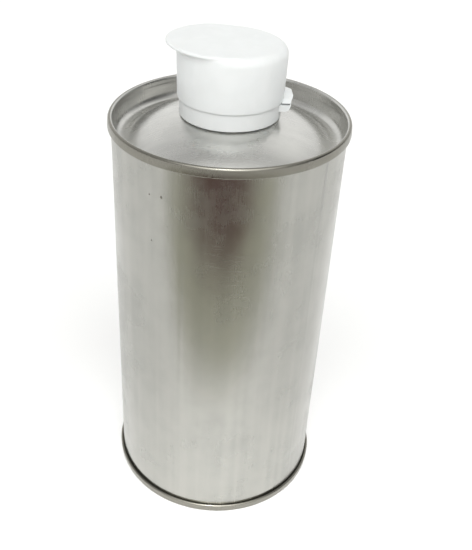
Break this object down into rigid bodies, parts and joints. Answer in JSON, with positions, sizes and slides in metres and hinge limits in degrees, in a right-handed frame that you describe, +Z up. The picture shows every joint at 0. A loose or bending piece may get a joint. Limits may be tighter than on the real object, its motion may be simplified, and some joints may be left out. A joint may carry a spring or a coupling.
{
  "type": "oil can",
  "caption": "Round tinplate oil can with double-seamed ends, a domed top and a white hinged flip-top closure over a pouring spout with a pull-ring seal.",
  "frame": {"origin": "centre of the base, on the plane that the bottom seam stands on", "axes": "+Z up along the can's axis; -X towards the lid's thumb lip; +X towards its hinge; +Y along the hinge line"},
  "size_m": [0.076, 0.076, 0.166],
  "materials": {
    "tinplate": "plain tinplate, satin with fine rolling marks",
    "compound": "dull water-based can sealing compound",
    "closure_white": "satin white polypropylene",
    "spout_white": "soft natural white polyethylene",
    "wad_foam": "closed-cell polyethylene foam"
  },
  "bodies": {
    "can": {"can_body": "tinplate", "bottom_end": "tinplate", "top_end": "tinplate", "bottom_compound": "compound", "top_compound": "compound", "pour_spout": "spout_white", "tear_membrane": "spout_white", "ring_post": "spout_white", "collar": "closure_white", "collar_lug": "closure_white", "hinge_film": "closure_white"},
    "lid": {"lid": "closure_white", "lid_lug": "closure_white", "wad_ring": "closure_white", "sealing_wad": "wad_foam"},
    "pull_ring": {"pull_ring": "spout_white"}
  },
  "joints": [
    {"name": "lid_hinge", "type": "hinge", "parent": "can", "child": "lid", "pos_m": [0.01783, 0, 0.14841], "axis": [0, 1, 0], "range_deg": [0, 120]},
    {"name": "pull_ring_flip", "type": "hinge", "parent": "can", "child": "pull_ring", "pos_m": [0.0063, 0, 0.14284], "axis": [0, 1, 0], "range_deg": [0, 85]}
  ]
}
